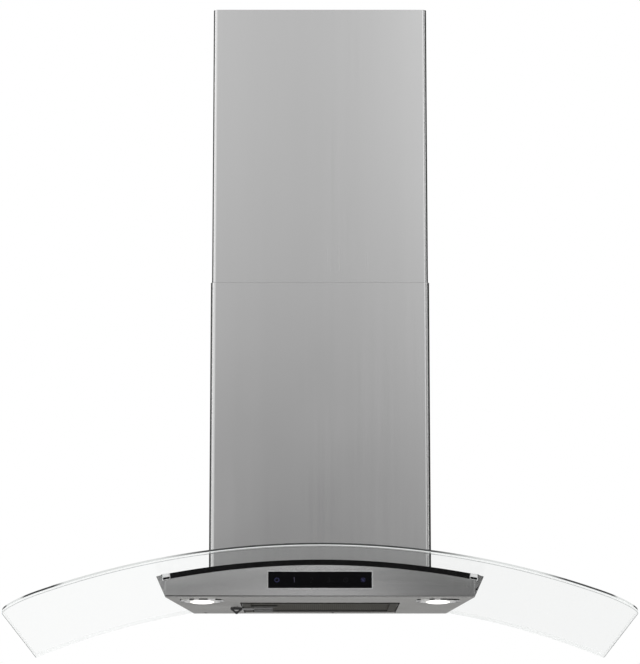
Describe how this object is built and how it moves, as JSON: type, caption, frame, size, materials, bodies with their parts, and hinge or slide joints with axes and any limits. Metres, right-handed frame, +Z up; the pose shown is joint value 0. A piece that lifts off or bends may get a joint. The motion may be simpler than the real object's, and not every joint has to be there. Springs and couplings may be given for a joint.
{
  "type": "wall mount range hood",
  "caption": "Wall mount chimney range hood: arched glass canopy, brushed steel body with touch panel and lamps, hinged grease filter, blower, damper and telescoping cover.",
  "frame": {"origin": "centre of the four wall bolt holes, on the wall plane", "axes": "+Z up, +Y into the wall, the hood's front faces -Y, +X to the right seen from the front"},
  "size_m": [0.75, 0.5, 0.8045],
  "materials": {
    "canopy_glass": "clear tempered float glass, polished edge",
    "foam": "closed cell foam",
    "black_foam": "matte black foam strip",
    "brushed_steel": "fine brushed stainless",
    "galvanised": "zinc coated sheet, small spangle",
    "bright_steel": "bright plated",
    "black_glass": "black glass, glossy",
    "dark_plastic": "black moulded plastic",
    "board_green": "solder mask",
    "lamp_glass": "frosted diffuser",
    "cast_alloy": "cast heat sink",
    "filter_alloy": "drawn aluminium mesh and frame",
    "fan_plastic": "glass filled moulding",
    "motor_steel": "plated steel cup",
    "core_steel": "varnished laminations",
    "copper": "enamelled copper wire",
    "white_plastic": "moulded"
  },
  "bodies": {
    "hood": {"glass_canopy": "canopy_glass", "canopy_seal": "foam", "front_strip": "black_foam", "glass_clips": "bright_steel", "hood_tray": "brushed_steel", "tray_rails": "galvanised", "front_panel": "brushed_steel", "panel_rim": "bright_steel", "touch_panel": "black_glass", "control_housing": "dark_plastic", "control_board": "board_green", "lamp_ring_left": "bright_steel", "lamp_ring_right": "bright_steel", "lamp_lens_left": "lamp_glass", "lamp_lens_right": "lamp_glass", "lamp_body_left": "cast_alloy", "lamp_body_right": "cast_alloy", "case_flange": "galvanised", "blower_case": "galvanised", "case_back": "galvanised", "case_top": "galvanised", "scroll_band": "galvanised", "scroll_side_left": "galvanised", "scroll_side_right": "galvanised", "motor_housing": "motor_steel", "motor_stator": "core_steel", "motor_windings": "copper", "motor_bearings": "bright_steel", "motor_bracket": "galvanised", "capacitor": "white_plastic", "capacitor_clip": "galvanised", "junction_box": "galvanised", "junction_lid": "galvanised", "terminal_block": "white_plastic", "cable_gland": "dark_plastic", "outlet_collar": "galvanised", "damper_rod": "bright_steel", "lower_cover": "brushed_steel", "cover_feet": "galvanised", "canopy_bolts": "bright_steel", "collar_screws": "bright_steel", "cover_screws": "bright_steel"},
    "upper_cover": {"upper_cover": "brushed_steel", "ceiling_bracket": "galvanised", "bracket_screws": "bright_steel"},
    "rotor": {"fan_wheel": "fan_plastic", "fan_hub": "fan_plastic", "motor_rotor": "core_steel", "motor_shaft": "bright_steel"},
    "damper_front": {"damper_flap_front": "galvanised"},
    "damper_rear": {"damper_flap_rear": "galvanised"},
    "filter": {"filter_frame": "filter_alloy", "filter_mesh": "filter_alloy", "latch_guide": "bright_steel"},
    "latch": {"filter_latch": "dark_plastic"}
  },
  "joints": [
    {"name": "cover_slide", "type": "slide", "parent": "hood", "child": "upper_cover", "axis": [0, 0, 1], "range_m": [-0.31, 0]},
    {"name": "fan_spin", "type": "hinge", "parent": "hood", "child": "rotor", "pos_m": [0, -0.11, -0.031], "axis": [1, 0, 0], "continuous": true},
    {"name": "damper_front_turn", "type": "hinge", "parent": "hood", "child": "damper_front", "pos_m": [0, -0.15, 0.105], "axis": [-1, 0, 0], "range_deg": [0, 75]},
    {"name": "damper_rear_turn", "type": "hinge", "parent": "hood", "child": "damper_rear", "pos_m": [0, -0.15, 0.105], "axis": [1, 0, 0], "range_deg": [0, 75]},
    {"name": "filter_swing", "type": "hinge", "parent": "hood", "child": "filter", "pos_m": [0.098, -0.268, -0.18577], "axis": [0, -0.997, -0.0769], "range_deg": [0, 75]},
    {"name": "latch_slide", "type": "slide", "parent": "filter", "child": "latch", "axis": [1, 0, 0], "range_m": [0, 0.005], "stiffness_N_per_m": 300, "springref_m": -0.002}
  ]
}
